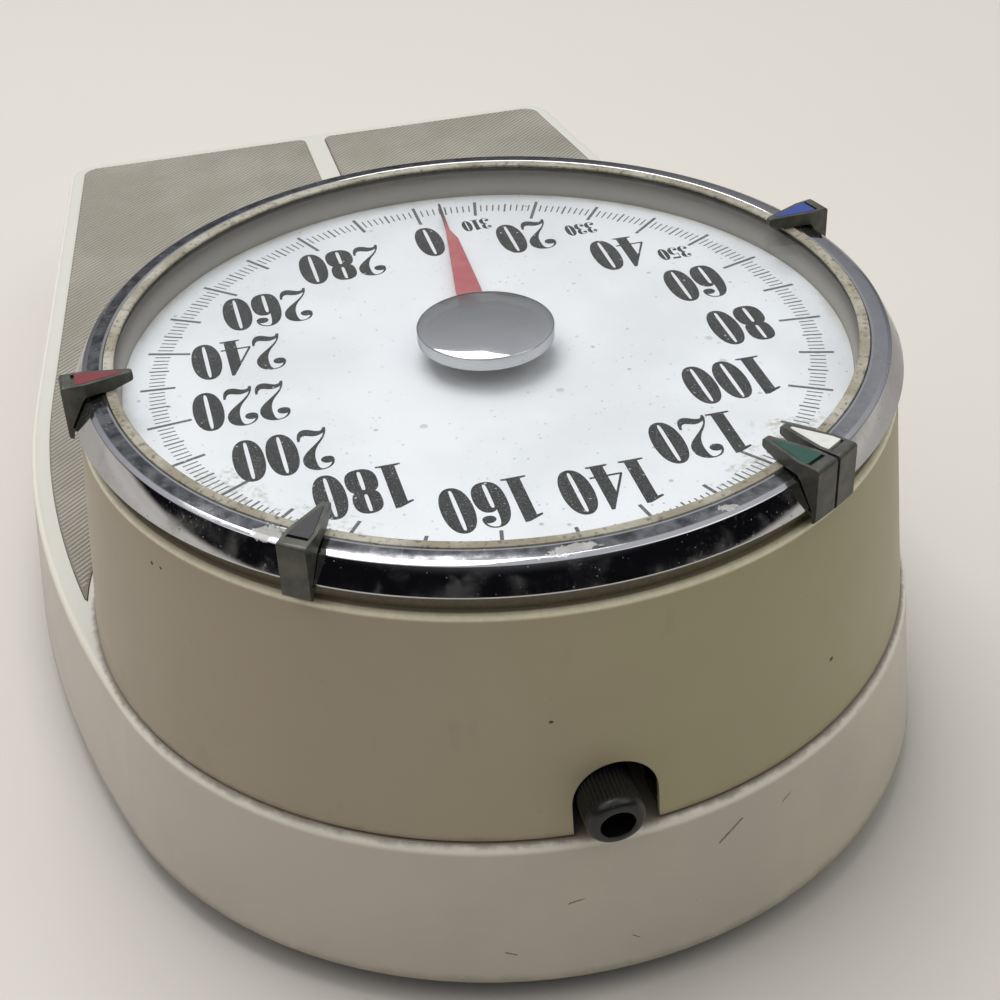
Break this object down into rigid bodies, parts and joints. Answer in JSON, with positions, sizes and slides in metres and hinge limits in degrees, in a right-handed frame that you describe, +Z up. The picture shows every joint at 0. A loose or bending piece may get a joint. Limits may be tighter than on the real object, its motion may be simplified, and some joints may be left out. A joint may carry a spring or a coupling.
{
  "type": "dial floor scale",
  "caption": "Mechanical floor scale: low enamelled platform on levers with a raised round dial head, pointer, zero knob and sliding weight markers.",
  "frame": {"origin": "under the middle of the whole scale, on the floor", "axes": "+Z up, +Y towards the far end of the platform, away from the dial head; +X to the right seen from the dial head"},
  "size_m": [0.2664, 0.4414, 0.1319],
  "materials": {
    "ivory_plastic": "moulded, yellowed",
    "white_enamel": "baked enamel",
    "mat": "fine ribbed",
    "chrome": "polished plate, pitted",
    "clear_lens": "clear",
    "dial_white": "satin print ground",
    "gasket": "aged cream rubber",
    "liner_grey": "satin",
    "pointer_red": "satin",
    "steel": "plain mill finish",
    "brass": "turned",
    "spring_steel": "oiled",
    "black_rubber": "moulded",
    "black_plastic": "moulded, ribbed",
    "pewter": "cast, tumbled",
    "inlay_blue": "enamel",
    "inlay_white": "enamel",
    "inlay_green": "enamel",
    "inlay_black": "enamel",
    "inlay_red": "enamel"
  },
  "bodies": {
    "base": {"base_pan": "steel", "rubber_feet": "black_rubber", "foot_rivets": "steel", "lever_fulcrums": "steel", "drum_standoffs": "steel", "movement_deck": "steel", "deck_screws": "steel", "drum_housing": "ivory_plastic", "drum_screws": "steel", "dial_face": "dial_white", "dial_liner": "liner_grey", "lens": "clear_lens", "lens_gasket": "gasket", "bezel_ring": "chrome", "dial_bushing": "brass", "shaft_bearing": "brass", "crank_bracket": "steel", "crank_pivot_pin": "steel", "rack_guide": "steel", "rack_spring": "spring_steel", "rack_spring_post": "steel", "zero_bracket": "steel", "zero_pivot_pin": "steel", "main_spring": "spring_steel"},
    "platform": {"platform_cover": "white_enamel", "mat_left": "mat", "mat_right": "mat", "platform_bearings": "steel"},
    "long_lever_left": {"long_lever_left": "steel", "long_lever_pins_left": "steel"},
    "long_lever_right": {"long_lever_right": "steel", "long_lever_pins_right": "steel"},
    "short_lever_left": {"short_lever_left": "steel", "short_lever_pins_left": "steel"},
    "short_lever_right": {"short_lever_right": "steel", "short_lever_pins_right": "steel"},
    "spring_plate": {"spring_plate": "steel", "spring_plate_pin": "steel"},
    "bell_crank": {"bell_crank": "steel", "crank_pins": "steel"},
    "rack": {"rack": "steel"},
    "pointer": {"pointer_shaft": "steel", "pinion": "brass", "pointer": "pointer_red", "hub_cap": "chrome"},
    "zero_knob": {"zero_knob": "black_plastic", "zero_screw": "steel"},
    "zero_nut": {"zero_nut": "brass"},
    "zero_lever": {"zero_lever": "steel", "zero_lever_pin": "steel"},
    "marker_blue": {"marker_blue_clip": "pewter", "marker_blue_inlay": "inlay_blue"},
    "marker_white": {"marker_white_clip": "pewter", "marker_white_inlay": "inlay_white"},
    "marker_green": {"marker_green_clip": "pewter", "marker_green_inlay": "inlay_green"},
    "marker_black": {"marker_black_clip": "pewter", "marker_black_inlay": "inlay_black"},
    "marker_red": {"marker_red_clip": "pewter", "marker_red_inlay": "inlay_red"}
  },
  "joints": [
    {"name": "platform_sink", "type": "slide", "parent": "base", "child": "platform", "axis": [0, 0, -1], "range_m": [0, 0.0009568], "stiffness_N_per_m": 1609700},
    {"name": "pointer_turn", "type": "hinge", "parent": "base", "child": "pointer", "pos_m": [0, -0.09722, 0.118], "axis": [0, 0, -1], "range_deg": [0, 415.5]},
    {"name": "long_lever_left_swing", "type": "hinge", "parent": "base", "child": "long_lever_left", "pos_m": [-0.084, 0.17478, 0.024], "axis": [1, 0, 0], "range_deg": [0, 2.5]},
    {"name": "long_lever_right_swing", "type": "hinge", "parent": "base", "child": "long_lever_right", "pos_m": [0.084, 0.17478, 0.024], "axis": [1, 0, 0], "range_deg": [0, 2.5]},
    {"name": "short_lever_left_swing", "type": "hinge", "parent": "base", "child": "short_lever_left", "pos_m": [-0.1, -0.08922, 0.024], "axis": [-1, 0, 0], "range_deg": [0, 3.5]},
    {"name": "short_lever_right_swing", "type": "hinge", "parent": "base", "child": "short_lever_right", "pos_m": [0.1, -0.08922, 0.024], "axis": [-1, 0, 0], "range_deg": [0, 3.5]},
    {"name": "spring_plate_drop", "type": "slide", "parent": "base", "child": "spring_plate", "axis": [0, 0, -1], "range_m": [0, 0.0139], "deforming": ["main_spring"]},
    {"name": "bell_crank_swing", "type": "hinge", "parent": "base", "child": "bell_crank", "pos_m": [0.009, -0.11922, 0.06], "axis": [1, 0, 0], "range_deg": [0, 31.01]},
    {"name": "rack_run", "type": "slide", "parent": "base", "child": "rack", "axis": [0, -1, 0], "range_m": [0, 0.02357], "deforming": ["rack_spring"]},
    {"name": "zero_nut_travel", "type": "slide", "parent": "base", "child": "zero_nut", "axis": [0, 0.9945, 0.1045], "range_m": [-0.0014, 0.0014]},
    {"name": "zero_knob_turn", "type": "hinge", "parent": "base", "child": "zero_knob", "pos_m": [-0.0025, -0.22002, 0.06101], "axis": [0, -0.9945, -0.1045], "range_deg": [-720.1, 720.1]},
    {"name": "zero_lever_swing", "type": "hinge", "parent": "base", "child": "zero_lever", "pos_m": [0.00635, -0.17722, 0.103], "axis": [1, 0, 0], "range_deg": [-2.2, 2.2]},
    {"name": "marker_blue_slide", "type": "hinge", "parent": "base", "child": "marker_blue", "pos_m": [0, -0.09722, 0.127], "axis": [0, 0, 1], "range_deg": [-33, 80]},
    {"name": "marker_white_slide", "type": "hinge", "parent": "base", "child": "marker_white", "pos_m": [0, -0.09722, 0.127], "axis": [0, 0, 1], "range_deg": [0, 33]},
    {"name": "marker_green_slide", "type": "hinge", "parent": "base", "child": "marker_green", "pos_m": [0, -0.09722, 0.127], "axis": [0, 0, 1], "range_deg": [-31, 0]},
    {"name": "marker_black_slide", "type": "hinge", "parent": "base", "child": "marker_black", "pos_m": [0, -0.09722, 0.127], "axis": [0, 0, 1], "range_deg": [-23, 31]},
    {"name": "marker_red_slide", "type": "hinge", "parent": "base", "child": "marker_red", "pos_m": [0, -0.09722, 0.127], "axis": [0, 0, 1], "range_deg": [-80, 23]}
  ],
  "couplings": [
    {"joint": "pointer_turn", "follows": "platform_sink", "rad_per_m": 7577.4},
    {"joint": "long_lever_left_swing", "follows": "platform_sink", "rad_per_m": 45.457},
    {"joint": "long_lever_right_swing", "follows": "platform_sink", "rad_per_m": 45.457},
    {"joint": "short_lever_left_swing", "follows": "platform_sink", "rad_per_m": 63.646},
    {"joint": "short_lever_right_swing", "follows": "platform_sink", "rad_per_m": 63.646},
    {"joint": "spring_plate_drop", "follows": "platform_sink", "ratio": 14.524},
    {"joint": "bell_crank_swing", "follows": "platform_sink", "rad_per_m": 565.48},
    {"joint": "rack_run", "follows": "platform_sink", "ratio": 24.627},
    {"joint": "zero_knob_turn", "follows": "zero_nut_travel", "rad_per_m": 8976},
    {"joint": "zero_lever_swing", "follows": "zero_nut_travel", "rad_per_m": 26.526}
  ]
}
